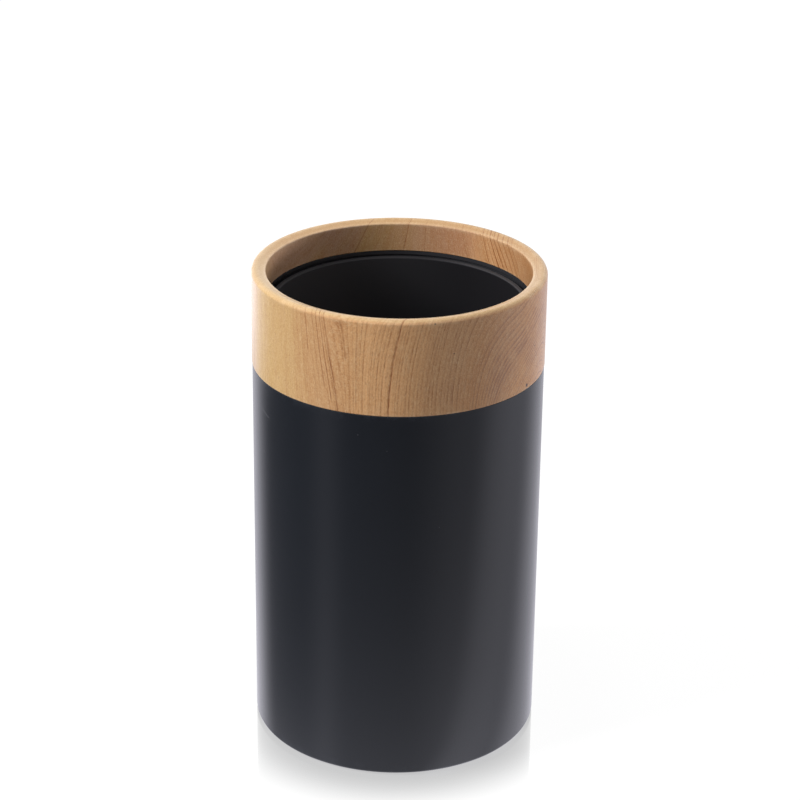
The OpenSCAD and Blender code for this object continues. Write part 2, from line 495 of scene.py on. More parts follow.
def group(name, inputs, outputs=("Mask",)):
    """A new node group with named float or vector sockets: its graph, its inputs and its outputs."""
    tree = bpy.data.node_groups.new(name, "ShaderNodeTree")
    for socket, value in inputs.items():
        kind = "NodeSocketVector" if value is None else "NodeSocketFloat"
        made = tree.interface.new_socket(socket, in_out="INPUT", socket_type=kind)
        if value is not None:
            made.default_value = value
    for socket in outputs:
        tree.interface.new_socket(socket, in_out="OUTPUT", socket_type="NodeSocketFloat")
    return Graph(tree), tree.nodes.new("NodeGroupInput").outputs, tree.nodes.new("NodeGroupOutput").inputs


def place(graph, name, **inputs):
    """Places a node group in a graph, with its own values."""
    return graph.add("ShaderNodeGroup", inputs, node_tree=bpy.data.node_groups[name]).outputs


# Effects that several finishes share. A detail is the detail and roughness of a noise, and a noise has its
# scale before them. A step is where a smooth step begins and ends, and can add its level at both places.

MOULD_DETAIL = (3.0, 0.6)
BROAD_NOISE = (60.0, 2.0)
UNEVEN_NOISE = (25.0, 4.0, 0.6)
PATCH_DETAIL = (4.0, 0.65)
PATCH_STEP = (0.42, 0.68)
SPOT_STEP = (0.45, 1.0, 1.0, 0.0)
SCRATCH_STEP = (0.3, 0.5, 1.0, 0.0)


def mould_texture():
    """Fine spark-eroded grain of moulded parts: small noise over a broader unevenness."""
    graph, given, result = group("Mould texture", {"Vector": None, "Grain": 4000.0, "Waviness": 0.25},
                                 ["Height", "Unevenness"])
    fine = graph.noise(given["Vector"], given["Grain"], *MOULD_DETAIL)
    broad = graph.times(graph.noise(given["Vector"], *BROAD_NOISE), given["Waviness"])
    graph.feed(graph.math("ADD", fine, broad), result["Height"])
    graph.feed(graph.noise(given["Vector"], *UNEVEN_NOISE), result["Unevenness"])


def dust():
    """Sparse specks: cells of a Voronoi pattern, of which a few hold a spot round their centre."""
    graph, given, result = group("Dust", {"Vector": None, "Cells": 260.0, "Share": 0.03, "Spot": 0.06})
    cells = graph.add("ShaderNodeTexVoronoi", {"Vector": given["Vector"], "Scale": given["Cells"]}).outputs
    spot = graph.math("LESS_THAN", cells["Distance"], given["Spot"])
    chosen = graph.add("ShaderNodeSeparateColor", {"Color": cells["Color"]}).outputs["Red"]
    kept = graph.math("LESS_THAN", chosen, given["Share"])
    graph.feed(graph.times(spot, kept), result["Mask"])


def worn_edge():
    """Wear along rounded edges: the piece's edge mask, broken up by noise."""
    graph, given, result = group("Edge wear", {"Vector": None, "Edge": 0.0, "Patches": 300.0, "Amount": 0.5})
    patches = graph.ramp(graph.noise(given["Vector"], given["Patches"], *PATCH_DETAIL), *PATCH_STEP)
    worn = graph.times(patches, given["Edge"])
    graph.feed(graph.math("MULTIPLY", worn, given["Amount"], clamp=True), result["Mask"])


def round_spot():
    """A round spot: 1 near its place, fading to 0 at its radius by a smooth step of the distance."""
    graph, given, result = group("Round spot", {"Vector": None, "Place": None, "Radius": 0.0005})
    gap = graph.vector("SUBTRACT", given["Vector"], given["Place"])
    away = graph.vector("LENGTH", gap, output="Value")
    graph.feed(graph.ramp(graph.math("DIVIDE", away, given["Radius"]), *SPOT_STEP), result["Mask"])


def scratch():
    """A short scratch: 1 along a line through its place, fading to 0 within its width and length."""
    graph, given, result = group("Scratch", {"Vector": None, "Place": None, "Direction": None,
                                             "Length": 0.003, "Width": 0.0002})
    gap = graph.vector("SUBTRACT", given["Vector"], given["Place"])
    along = graph.vector("DOT_PRODUCT", gap, given["Direction"], output="Value")
    run = graph.add("ShaderNodeVectorMath", {0: given["Direction"], "Scale": along}, operation="SCALE")
    away = graph.vector("LENGTH", graph.vector("SUBTRACT", gap, run.outputs[0]), output="Value")
    thin = graph.math("SUBTRACT", 1.0, graph.math("DIVIDE", away, given["Width"]), clamp=True)
    ends = graph.math("DIVIDE", graph.math("ABSOLUTE", along), given["Length"])
    graph.feed(graph.times(thin, graph.ramp(ends, *SCRATCH_STEP)), result["Mask"])


# Wood effects. Their Grain input is the place in the wood, in millimetres. A stretch scales it through the
# layers, sideways and up the fibres, and stands before the scale of a noise.

LAYER_STRETCH, LAYER_DETAIL = (1.0, 0.05, 0.022), (1.5, 0.5)
LAYER_NOISE, LAYER_STEP = ((0.8, 0.3, 0.09), 1.0, 3.0, 0.6), (0.3, 0.7, 0.15)

# The noise of each kind of fibre, and the step of those that have one
FIBRES = {
    "Streaks": ((1.0, 0.5, 0.06), 4.0, 3.0, 0.65),
    "Bands": ((1.0, 0.15, 0.05), 0.28, 2.0, 0.5),
    "Flecks": ((1.0, 0.8, 0.35), 0.9, 3.0, 0.6),
    "Pores": ((1.0, 0.6, 0.25), 3.6, 1.0, 0.5),
    "Beads": ((1.0, 1.0, 0.3), 2.4, 2.0, 0.6),
    "Pale grit": ((1.0, 1.0, 0.6), 4.5, 2.0, 0.7),
    "Dark grit": ((1.0, 1.0, 0.6), 4.5, 2.0, 0.7),
}
FIBRE_STEPS = {"Pores": (0.66, 0.75), "Beads": (0.36, 0.62), "Pale grit": (0.50, 0.66),
               "Dark grit": (0.34, 0.50, 1.0, 0.0)}

RING_WAVE_NOISE = (0.7, 0.05, 0.02), 1.0, 0.0
RING_SHARPNESS = 2.5
RING_OWN_GAIN, RING_OWN_LEAST = 0.75, 0.25
RING_NOISE, RING_STEP = ((1.2, 0.4, 0.25), 1.0, 4.0, 0.65), (0.3, 0.65, 0.3)

LINE_WAVE_NOISE = (0.0, 0.12, 0.14), 1.0, 3.0
LINE_FADE_NOISE, LINE_FADE_STEP = ((2.0, 0.5, 0.3), 1.0, 3.0), (0.25, 0.55, 0.35)
LINE_END_STEP = (-1.5, 1.5)


def fine_layers():
    """Growth layers: thin lines where a stretched noise crosses its middle, stronger and weaker in places."""
    graph, given, result = group("Fine layers", {"Grain": None, "Rate": 0.6, "Width": 0.05, "Offset": 0.0})
    offset = graph.add("ShaderNodeCombineXYZ", {"X": given["Offset"], "Y": given["Offset"], "Z": 0.0})
    moved = graph.vector("ADD", graph.vector("MULTIPLY", given["Grain"], LAYER_STRETCH), offset.outputs[0])
    crossing = graph.noise(moved, given["Rate"], *LAYER_DETAIL)
    away = graph.math("ABSOLUTE", graph.math("SUBTRACT", crossing, 0.5))
    line = graph.math("SUBTRACT", 1.0, graph.math("DIVIDE", away, given["Width"]), clamp=True)
    strength = graph.ramp(graph.stretched_noise(given["Grain"], *LAYER_NOISE), *LAYER_STEP)
    graph.feed(graph.times(line, strength), result["Mask"])


def wood_fibres():
    """Noises stretched up the fibres: fine streaks, bands of tone, flecks, short pores, beads and grit."""
    graph, given, result = group("Wood fibres", {"Grain": None}, FIBRES)
    for name, noise in FIBRES.items():
        fibre = graph.stretched_noise(given["Grain"], *noise)
        if name in FIBRE_STEPS:
            fibre = graph.ramp(fibre, *FIBRE_STEPS[name])
        graph.feed(fibre, result[name])


def ring_comb():
    """Growth rings, closer past a place: each darkens slowly, ends sharply, and has its own strength."""
    graph, given, result = group("Ring comb", {"Grain": None, "Step": 0.75, "Close from": 28.0,
                                               "Closeness": 0.1, "Waver": 0.9})
    through = graph.parts(given["Grain"])["X"]
    wave = graph.math("SUBTRACT", graph.stretched_noise(given["Grain"], *RING_WAVE_NOISE), 0.5)
    wave = graph.times(wave, given["Waver"])
    past = graph.math("MAXIMUM", graph.math("SUBTRACT", through, given["Close from"]), 0.0)
    closer = graph.times(past, past, given["Closeness"])
    turn = graph.math("DIVIDE", graph.many("ADD", through, wave, closer), given["Step"])
    late = graph.math("POWER", graph.math("FRACT", turn), RING_SHARPNESS)
    own = graph.add("ShaderNodeTexWhiteNoise", {"W": graph.math("FLOOR", turn)}, noise_dimensions="1D")
    own = graph.math("MULTIPLY_ADD", own.outputs["Value"], RING_OWN_GAIN, RING_OWN_LEAST)
    along = graph.ramp(graph.stretched_noise(given["Grain"], *RING_NOISE), *RING_STEP)
    graph.feed(graph.times(late, own, along), result["Mask"])


def growth_line():
    """One dark growth line: narrow round its place in the layers, wavering and fading along its length."""
    graph, given, result = group("Growth line", {"Grain": None, "Place": 0.0, "Width": 0.3, "Waver": 0.3,
                                                 "Strength": 1.0, "Low": -5.0, "High": 40.0})
    parts = graph.parts(given["Grain"])
    waver = graph.math("SUBTRACT", graph.stretched_noise(given["Grain"], *LINE_WAVE_NOISE), 0.5)
    moved = graph.math("ADD", parts["X"], graph.times(waver, given["Waver"]))
    away = graph.math("ABSOLUTE", graph.math("SUBTRACT", moved, given["Place"]))
    narrow = graph.math("SUBTRACT", 1.0, graph.math("DIVIDE", away, given["Width"]), clamp=True)
    fade = graph.ramp(graph.stretched_noise(given["Grain"], *LINE_FADE_NOISE), *LINE_FADE_STEP)
    above = graph.ramp(graph.math("SUBTRACT", parts["Z"], given["Low"]), *LINE_END_STEP)
    below = graph.ramp(graph.math("SUBTRACT", given["High"], parts["Z"]), *LINE_END_STEP)
    graph.feed(graph.times(narrow, given["Strength"], above, below, fade), result["Mask"])


for effect in (mould_texture, dust, worn_edge, round_spot, scratch, fine_layers, wood_fibres, ring_comb,
               growth_line):
    effect()


# Finishes

def finish(name):
    """A new material: its graph, its Principled shader and its Object coordinates."""
    material = bpy.data.materials.new(name)
    material.use_nodes = True
    graph = Graph(material.node_tree)
    shader = material.node_tree.nodes["Principled BSDF"]
    return material, graph, shader, graph.add("ShaderNodeTexCoord").outputs["Object"]


def bump(graph, height, distance):
    """A normal that is tipped by a height, given in metres."""
    return graph.add("ShaderNodeBump", {"Height": height, "Strength": 1.0, "Distance": distance}).outputs[0]


def on_wall(angle, height):
    """The place on the collar's outside, or below it, at an angle in degrees and a height in millimetres."""
    turn = math.radians(angle)
    return collar.outside * math.sin(turn), -collar.outside * math.cos(turn), height * MM


def spots(graph, point, rows):
    """The masks of round spots on the outside, from rows of angle, height, radius and perhaps strength."""
    masks = []
    for angle, height, radius, strength in ((*row, 1.0)[:4] for row in rows):
        mask = place(graph, "Round spot", Vector=point, Place=on_wall(angle, height),
                     Radius=radius * MM)["Mask"]
        masks.append(graph.times(mask, strength))
    return masks


# Marks on the body's front: angle in degrees, height and radius in millimetres
SPECKS = [(-15.0, 96.5, 0.22), (-3.8, 92.7, 0.2), (-64.5, 82.5, 0.3), (16.6, 71.4, 0.2)]
SCRATCH_ENDS, SCRATCH_WIDTH = ((-67.4, 94.2), (-58.6, 92.8)), 0.25 * MM
MARK_STRENGTH, MARK_TONE = 0.5, (0.12, 0.12, 0.13)

DUST_STRENGTH, DUST_TONE = 0.35, (0.12, 0.12, 0.12)
UNEVEN_STRENGTH, UNEVEN_GAIN = 0.5, 1.5
UNEVEN_STEP = (0.3, 0.7)
WORN_GAIN, WORN_LIFT, WORN_ROUGHNESS = 2.5, 0.01, 0.1


def marks(graph, point):
    """The specks and the short scratch on the body's front."""
    low, high = (Vector(on_wall(angle, height)) for angle, height in SCRATCH_ENDS)
    run = high - low
    line = place(graph, "Scratch", Vector=point, Place=(low + high) / 2, Direction=run.normalized(),
                 Length=run.length, Width=SCRATCH_WIDTH)["Mask"]
    whole = graph.largest([*spots(graph, point, SPECKS), line])
    return graph.times(whole, MARK_STRENGTH)


def moulded(name, base, roughness, spread, grain, relief, worn=0.0, dusty=0.0, film=None, specular=0.5,
            marked=False):
    """A moulded plastic or rubber: its base, lighter along worn edges, with mould texture and some dust."""
    material, graph, shader, point = finish(name)
    texture = place(graph, "Mould texture", Vector=point, Grain=grain)
    wear = place(graph, "Edge wear", Vector=point, Edge=graph.attribute("edge"), Amount=worn)["Mask"]
    specks = place(graph, "Dust", Vector=point, Share=dusty)["Mask"]
    shade = [channel * UNEVEN_GAIN for channel in base]
    light = [min(1.0, channel * WORN_GAIN + WORN_LIFT) for channel in base]
    colour = graph.mix(graph.times(texture["Unevenness"], UNEVEN_STRENGTH), base, shade)
    colour = graph.mix(wear, colour, light)
    # Painted light, laid on where the piece's attribute says
    if film:
        colour = graph.mix(graph.attribute("film"), colour, film)
    if marked:
        colour = graph.mix(marks(graph, point), colour, MARK_TONE)
    colour = graph.mix(graph.times(specks, DUST_STRENGTH), colour, DUST_TONE)
    uneven = graph.ramp(texture["Unevenness"], *UNEVEN_STEP, roughness - spread, roughness + spread)
    uneven = graph.math("ADD", uneven, graph.times(wear, WORN_ROUGHNESS))
    graph.give(shader, {"Base Color": colour, "Roughness": uneven, "Specular IOR Level": specular,
                        "Normal": bump(graph, texture["Height"], relief)})
    return material


# Wood tones through the layers: place in millimetres and colour
WOOD_TONES = [
    (-36.0, (0.64, 0.42, 0.26)),
    (-25.0, (0.62, 0.41, 0.138)),
    (-12.0, (0.62, 0.395, 0.175)),
    (-5.0, (0.60, 0.345, 0.155)),
    (3.0, (0.62, 0.34, 0.15)),
    (9.0, (0.76, 0.425, 0.190)),
    (15.0, (0.78, 0.430, 0.195)),
    (24.0, (0.60, 0.325, 0.143)),
    (34.0, (0.54, 0.24, 0.070)),
    (38.0, (0.63, 0.28, 0.066)),
]
WOOD_LATE = (0.375, 0.152, 0.045)
# Colour of the dark growth lines, also used for the painted shade line at the seam
DARK_LINE_AND_SEAM_SHADE = (0.235, 0.072, 0.012)
WOOD_HOLE = (0.05, 0.018, 0.008)
WOOD_PALE = (0.78, 0.57, 0.34)

# Tones of the lip on its lit and shaded sides, the painted highlight on its inner edge, painted shade on its
# slope at the back, painted shade in the bore, lighter at the left and bluer at the back, where they begin
# and end, and the painted shade line at the seam
LIP_LIT_SIDE = (0.58, 0.40, 0.19)
LIP_SHADED_SIDE = (0.48, 0.31, 0.13)
LIP_EDGE_HIGHLIGHT = (0.80, 0.62, 0.42)
SLOPE_PAINTED_SHADE = (0.90, 0.79, 0.68)
BORE_PAINTED_SHADE = (0.80, 0.77, 0.80)
BORE_BACK_SHADE = (0.74, 0.69, 0.87)
BORE_LEFT_SHADE = (0.90, 0.87, 0.98)
BORE_BACK_STEP = (25 * MM, 30 * MM)
BORE_LEFT_STEP = (-27 * MM, -20 * MM, 1.0, 0.0)
LIP_SHARE, LIP_EDGE_SHARE, SEAM_SHADE_SHARE = 0.9, 0.85, 0.85

# Dark growth lines: place through the layers, width, waver, strength, and the heights between which they run
# if that isn't the whole band
GROWTH_LINES = [
    (15.0, 0.25, 0.3, 1.0),
    (2.63, 0.27, 0.35, 0.9),
    (1.35, 0.22, 0.4, 0.85, 3.0, 40.0),
    (0.0, 0.22, 0.4, 0.8, 6.0, 40.0),
    (-1.3, 0.16, 0.4, 0.45, 8.0, 40.0),
    (-2.7, 0.15, 0.4, 0.3, 2.0, 22.0),
    (-4.0, 0.24, 0.4, 0.7, 14.0, 40.0),
    (-6.0, 0.18, 0.4, 0.3, 4.0, 40.0),
    (5.4, 0.18, 0.3, 0.6, 14.0, 24.0),
    (7.3, 0.14, 0.3, 0.4, 2.0, 24.0),
    (8.77, 0.14, 0.3, 0.36),
    (10.1, 0.12, 0.3, 0.25),
    (22.3, 1.4, 0.6, 0.16, -5.0, 24.0),
    (23.4, 0.16, 0.4, 0.25, -5.0, 18.0),
]

# The same on the far side
BACK_LINES = [
    (-15.4, 0.2, 0.4, 0.7),
    (-26.9, 0.22, 0.4, 0.7),
    (-9.2, 0.16, 0.3, 0.5),
    (4.4, 0.2, 0.3, 0.5),
    (7.2, 0.16, 0.3, 0.4),
    (9.3, 0.16, 0.3, 0.4),
    (12.5, 0.38, 0.3, 0.8),
    (14.4, 0.22, 0.3, 0.5),
    (16.15, 0.5, 0.3, 0.95),
    (17.1, 0.2, 0.3, 0.55),
    (17.95, 0.42, 0.3, 0.85),
    (19.5, 0.28, 0.3, 0.75),
    (21.3, 0.34, 0.3, 0.7),
    (23.0, 0.34, 0.3, 0.65),
    (24.3, 0.2, 0.3, 0.5),
]
LINES_TURN_STEP = (4 * MM, 16 * MM)

# Spots where the layers show as dark dashes: angle, height, radius, strength. Pinholes the same, at full
# strength.
DASH_SPOTS = [
    (41.5, 111.0, 5.0, 1.0),
    (38.5, 105.0, 3.5, 0.8),
    (53.0, 116.5, 4.5, 1.0),
    (62.0, 120.5, 4.0, 0.8),
    (61.0, 111.5, 4.5, 0.8),
    (70.0, 118.5, 4.0, 0.6),
    (17.0, 108.0, 5.0, 0.3),
]
PINHOLES = [(58.7, 103.1, 0.6), (65.0, 112.3, 0.3), (21.0, 117.8, 0.22), (13.5, 126.0, 0.3)]

# The wood's grain. A gain is a factor and what is added after it.
BAND_DRIFT = 12.0
FLECK_SHARE_STEP = (0.45, 0.75, 0.0, 0.25)
WIDE_LAYERS = {"Rate": 0.28, "Width": 0.09, "Offset": 7.0}
THIN_LAYERS = {"Rate": 0.75, "Width": 0.06}
LAYER_SHARE = 0.2
RING_LEVEL_STEPS = [(-12.0, 4.0, 0.3, 0.9), (9.0, 16.0, 0.0, 0.5), (27.0, 33.0, 0.0, 0.5)]
DASH_GAIN, BEAD_GAIN, LIP_GAIN = (1.3, 1.0), (0.5, 0.7), (-0.5, 1.0)
STREAK_SHARE_STEP = (0.45, 0.75, 0.0, 0.22)
BEAD_SHARE_STEP = (0.0, 1.0, 0.0, 0.1)
PALE_GRIT_SHARE, DARK_GRIT_SHARE, PORE_SHARE = 0.35, 0.28, 0.35
LINE_GAIN = (0.4, 0.75)
DASH_SHARE, BROKEN_STEP = 0.75, (27.0, 33.0, 0.0, 0.3)
WOOD_WORN = 0.25

# The wood's coat, roughness and relief
WOOD_ROUGH_STEP, DARK_ROUGHNESS = (0.3, 0.7, 0.40, 0.50), 0.2
WOOD_COAT, WOOD_COAT_ROUGHNESS = 0.75, 0.25
STREAK_RELIEF, DARK_RELIEF, LAYER_RELIEF = 0.6, 2.0, 0.7
WOOD_RELIEF = 0.02 * MM


def tone(graph, through, drift):
    """The wood's tone at a place through the layers, moved by a drift."""
    low, high = WOOD_TONES[0][0], WOOD_TONES[-1][0]
    share = graph.add("ShaderNodeMapRange", {
        "Value": graph.math("ADD", through, drift), "From Min": low, "From Max": high,
    }).outputs["Result"]
    tones = graph.add("ShaderNodeValToRGB", {"Fac": share})
    stops = tones.color_ramp.elements
    for stop, colour in WOOD_TONES[1:-1]:
        stops.new((stop - low) / (high - low)).color = (*colour, 1.0)
    stops[0].color = (*WOOD_TONES[0][1], 1.0)
    stops[-1].color = (*WOOD_TONES[-1][1], 1.0)
    return tones.outputs["Color"]


def painted_lip_and_bore(graph, colour, masks, edges, spot):
    """A colour of the wood with the lip's painted light, the painted highlight and shade of its edge and
    slope, and the bore's painted shade laid over it.
    """
    lip = graph.mix(masks["Z"], LIP_SHADED_SIDE, LIP_LIT_SIDE)
    # Painted shade on the lip's slope at the back
    lip = graph.mix(edges["Z"], lip, graph.mix(1.0, lip, SLOPE_PAINTED_SHADE, "MULTIPLY"))
    colour = graph.mix(graph.times(masks["X"], LIP_SHARE), colour, lip)
    # Painted shade in the bore: lighter at the left, darker and bluer at the back
    bore_shade = graph.mix(graph.ramp(spot["Y"], *BORE_BACK_STEP), BORE_PAINTED_SHADE, BORE_BACK_SHADE)
    bore_shade = graph.mix(graph.ramp(spot["X"], *BORE_LEFT_STEP), bore_shade, BORE_LEFT_SHADE)
    colour = graph.mix(masks["Y"], colour, bore_shade, "MULTIPLY")
    # Painted highlight along the lip's inner edge
    return graph.mix(graph.times(edges["X"], LIP_EDGE_SHARE), colour, LIP_EDGE_HIGHLIGHT)


def ringed(graph, grain, through, rings, dashes, beads, lip):
    """How strongly the growth layers and the rings show: more in the dashes and less on the lip."""
    wide = place(graph, "Fine layers", Grain=grain, **WIDE_LAYERS)["Mask"]
    thin = place(graph, "Fine layers", Grain=grain, **THIN_LAYERS)["Mask"]
    level = graph.many("ADD", *[graph.ramp(through, *step) for step in RING_LEVEL_STEPS])
    layers = graph.many("ADD", graph.times(wide, LAYER_SHARE), graph.times(thin, LAYER_SHARE),
                        graph.times(rings, level))
    layers = graph.times(layers, graph.math("MULTIPLY_ADD", dashes, *DASH_GAIN))
    layers = graph.times(layers, graph.math("MULTIPLY_ADD", beads, *BEAD_GAIN))
    return graph.math("MULTIPLY", layers, graph.math("MULTIPLY_ADD", lip, *LIP_GAIN), clamp=True)


def lined(graph, grain, far, beads):
    """How strongly the dark growth lines show, with those of the far side where far is 1."""
    def strongest(rows):
        names = ("Place", "Width", "Waver", "Strength", "Low", "High")
        return graph.largest([
            place(graph, "Growth line", Grain=grain, **dict(zip(names, row)))["Mask"] for row in rows])

    near = graph.math("SUBTRACT", 1.0, far)
    lines = graph.largest([graph.times(strongest(GROWTH_LINES), near),
                           graph.times(strongest(BACK_LINES), far)])
    return graph.math("MULTIPLY", lines, graph.math("MULTIPLY_ADD", beads, *LINE_GAIN), clamp=True)


def wood():
    """Satin wood: tones through the layers, rings, fibres, pores, dark lines, painted light and shade on the
    lip and in the bore, and a coat.
    """
    material, graph, shader, point = finish("collar_wood")
    grain = graph.attribute("grain", "Vector")
    masks = graph.parts(graph.attribute("faces", "Vector"))
    edges = graph.parts(graph.attribute("rims", "Vector"))
    through = graph.parts(grain)["X"]
    spot = graph.parts(point)
    fibres = place(graph, "Wood fibres", Grain=grain)
    rings = place(graph, "Ring comb", Grain=grain)["Mask"]
    dashes = graph.largest(spots(graph, point, DASH_SPOTS))

    drift = graph.times(graph.math("SUBTRACT", fibres["Bands"], 0.5), BAND_DRIFT)
    flecks = graph.ramp(fibres["Flecks"], *FLECK_SHARE_STEP)
    colour = graph.mix(flecks, tone(graph, through, drift), WOOD_PALE)
    colour = painted_lip_and_bore(graph, colour, masks, edges, spot)
    layers = ringed(graph, grain, through, rings, dashes, fibres["Beads"], masks["X"])
    colour = graph.mix(layers, colour, WOOD_LATE)
    colour = graph.mix(graph.ramp(fibres["Streaks"], *STREAK_SHARE_STEP), colour, WOOD_LATE)
    colour = graph.mix(graph.ramp(fibres["Beads"], *BEAD_SHARE_STEP), colour, WOOD_LATE)
    colour = graph.mix(graph.times(fibres["Pale grit"], PALE_GRIT_SHARE), colour, WOOD_PALE)
    colour = graph.mix(graph.times(fibres["Dark grit"], DARK_GRIT_SHARE), colour, WOOD_LATE)

    lines = lined(graph, grain, graph.ramp(spot["Y"], *LINES_TURN_STEP), fibres["Beads"])
    pores = graph.times(fibres["Pores"], PORE_SHARE)
    broken = graph.math("MULTIPLY_ADD", dashes, DASH_SHARE, graph.ramp(through, *BROKEN_STEP))
    dark = graph.largest([lines, pores, graph.times(rings, broken)])
    holes = graph.largest(spots(graph, point, PINHOLES))
    colour = graph.mix(holes, graph.mix(dark, colour, DARK_LINE_AND_SEAM_SHADE), WOOD_HOLE)
    dark = graph.math("MAXIMUM", dark, holes)
    wear = place(graph, "Edge wear", Vector=point, Edge=graph.attribute("edge"), Amount=WOOD_WORN)
    colour = graph.mix(wear["Mask"], colour, WOOD_PALE)
    # Painted shade line along the seam, below the wood
    colour = graph.mix(graph.times(edges["Y"], SEAM_SHADE_SHARE), colour, DARK_LINE_AND_SEAM_SHADE)

    rough = graph.ramp(fibres["Streaks"], *WOOD_ROUGH_STEP)
    rough = graph.math("ADD", rough, graph.times(dark, DARK_ROUGHNESS))
    dents = graph.math("ADD", graph.times(dark, DARK_RELIEF), graph.times(layers, LAYER_RELIEF))
    height = graph.math("SUBTRACT", graph.times(fibres["Streaks"], STREAK_RELIEF), dents)
    graph.give(shader, {"Base Color": colour, "Roughness": rough, "Coat Weight": WOOD_COAT,
                        "Coat Roughness": WOOD_COAT_ROUGHNESS, "Normal": bump(graph, height, WOOD_RELIEF)})
    return material


# Pieces

def wood_collar():
    """The turned collar: a ring with a rounded lip, and a rebate that takes the neck."""
    outline = rounded([
        (rebate_r, collar.low),
        (collar.outside, collar.low, SEAM_ROUND),
        (collar.outside, collar.high, LIP_OUTER_ROUND),
        (collar.outside - CREST_IN, collar.high, CREST_ROUND),
        (mouth_r, collar.high - LIP_FALL, LIP_INNER_ROUND),
        (mouth_r, step_z, STEP_ROUND),
        (rebate_r, step_z),
    ])
    surface = turned(outline, *WOOD_GRID)
    piece("collar_ring", surface, "wood_collar", "collar_wood", wood(), grain=growth(surface.points),
          faces=faces(surface.points, surface.normals), rims=rims(surface.points))


def black_sleeve():
    """The outer sleeve: wall, base edge, shoulder, neck with glue grooves and lip, and the bead's groove."""
    groove_r = neck_r - GLUE_GROOVE
    levels = sleeve.levels_at(groove_r)
    glue = [(radius, height) for low, high in zip(levels[::2], levels[1::2])
            for radius, height in ((neck_r, low), (groove_r, low), (groove_r, high), (neck_r, high))]
    bead_r = sleeve_bore_r + BEAD_GROOVE
    bead_low, bead_high = sleeve.heights_at(bead_r)
    outline = rounded([
        (sleeve_bore_r, sleeve.low),
        (sleeve.outside, sleeve.low, BASE_ROUND),
        (sleeve.outside, collar.low, SHOULDER_ROUND),
        (neck_r, collar.low),
        *glue,
        (neck_r, sleeve.high),
        (neck_lip_r, sleeve.high),
        (neck_lip_r, neck_lip_z),
        (neck_bore_r, neck_lip_z),
        (neck_bore_r, root_z),
        (sleeve_bore_r, root_z),
        (sleeve_bore_r, bead_high + BEAD_GROOVE),
        (bead_r, bead_high),
        (bead_r, bead_low),
        (sleeve_bore_r, bead_low - BEAD_GROOVE),
    ])
    material = moulded("satin_black", base=(0.0066, 0.0086, 0.0125), worn=0.4, roughness=0.20, spread=0.015,
                       grain=5000.0, relief=0.001 * MM, dusty=0.006, film=(0.030, 0.030, 0.034), marked=True)
    surface = turned(outline, *BLACK_GRID)
    # Painted light on the neck band that shows inside the mouth
    neck = smooth(surface.points[:, 2], collar.low, collar.low + NECK_LIGHT_OVER)
    piece("sleeve_shell", surface, "outer_sleeve", "sleeve_plastic", material, film=neck)


def black_liner():
    """The inner cup: rounded rim, tapering wall, rounded floor, flange and boss."""
    foot_r = cup_r - CUP_DRAFT
    bore_r = cup_r - CUP_WALL
    cup_floor_z = cup_bottom_z + CUP_FLOOR
    outline = rounded([
        (0.0, cup.low, 0.0),
        (boss_r, cup.low),
        (boss_r, cup_bottom_z),
        (foot_r, cup_bottom_z, CUP_FLOOR_ROUND + CUP_WALL),
        (cup_r, flange_z),
        (cup.outside, flange_z),
        (cup.outside, flange_top_z),
        (cup_r, flange_top_z),
        (cup_r, cup.high),
        (bore_r, cup.high, RIM_ROUND),
        (bore_r, flange_z),
        (foot_r - CUP_WALL, cup_floor_z, CUP_FLOOR_ROUND),
        (0.0, cup_floor_z, 0.0),
    ], closed=False)
    material = moulded("liner_black", base=(0.0105, 0.0102, 0.0118), roughness=0.5, spread=0.03,
                       grain=4000.0, relief=0.003 * MM, dusty=0.02, film=(0.046, 0.046, 0.051), specular=0.15)
    surface = turned(outline, *BLACK_GRID)
    across, _, height = surface.points.T
    # Painted light on the liner's shaded left side
    lit_left = smooth(-across, *PAINTED_LIGHT_STEP)
    facing_up = smooth(surface.normals[:, 2], *RIM_FACING_STEP)
    rim = facing_up * (height > cup.high - RIM_ROUND - FINE_ROUND)
    # Painted highlight on the rim's top, weaker at the left and stronger at the right
    rim_highlight = RIM_HIGHLIGHT_LEFT + (RIM_HIGHLIGHT_RIGHT - RIM_HIGHLIGHT_LEFT) * smooth(across, *RIM_STEP)
    piece("cup_liner", surface, "inner_cup", "cup_plastic", material, film=lit_left * (1 - rim) + rim_highlight * rim)


def dress(node, material):
    """Gives a CAD node that stays its material."""
    mesh = frame["nodes"][node].data
    mesh.materials.clear()
    mesh.materials.append(material)


wood_collar()
black_sleeve()
black_liner()
dress("neck_seal", moulded("seal_silicone", base=(0.35, 0.36, 0.38), roughness=0.55, spread=0.04,
                           grain=3000.0, relief=0.002 * MM))
dress("base_cover", moulded("cover_black", base=(0.012, 0.012, 0.013), roughness=0.5, spread=0.05,
                            grain=2500.0, relief=0.006 * MM, dusty=0.03))
rubber = moulded("pad_rubber", base=(0.04, 0.04, 0.042), roughness=0.7, spread=0.05, grain=2500.0,
                 relief=0.006 * MM, dusty=0.03)
for pad in ("foot_pad_1", "foot_pad_2", "foot_pad_3", "foot_pad_4"):
    dress(pad, rubber)


# Floor, backdrop and light

FLOOR_RADIUS = 6.0
FLOOR_HUB = 30 * MM
FLOOR_RINGS, FLOOR_COLUMNS = 84, 240
LIGHT_DISTANCE = 1.1

# The floor's own white fades in towards the horizon, and a faint mirror fades out from the foot
FLOOR_BASE = (0.14, 0.14, 0.14)
HORIZON_STEP = (1.0, 3.0, 0.90)
FOOT_STEP = (37.0 * MM, 57.0 * MM, 0.44, 0.0)
FOOT_ROUGHNESS = 0.04
WORLD_STEP = (0.0, 1.0, 0.35)

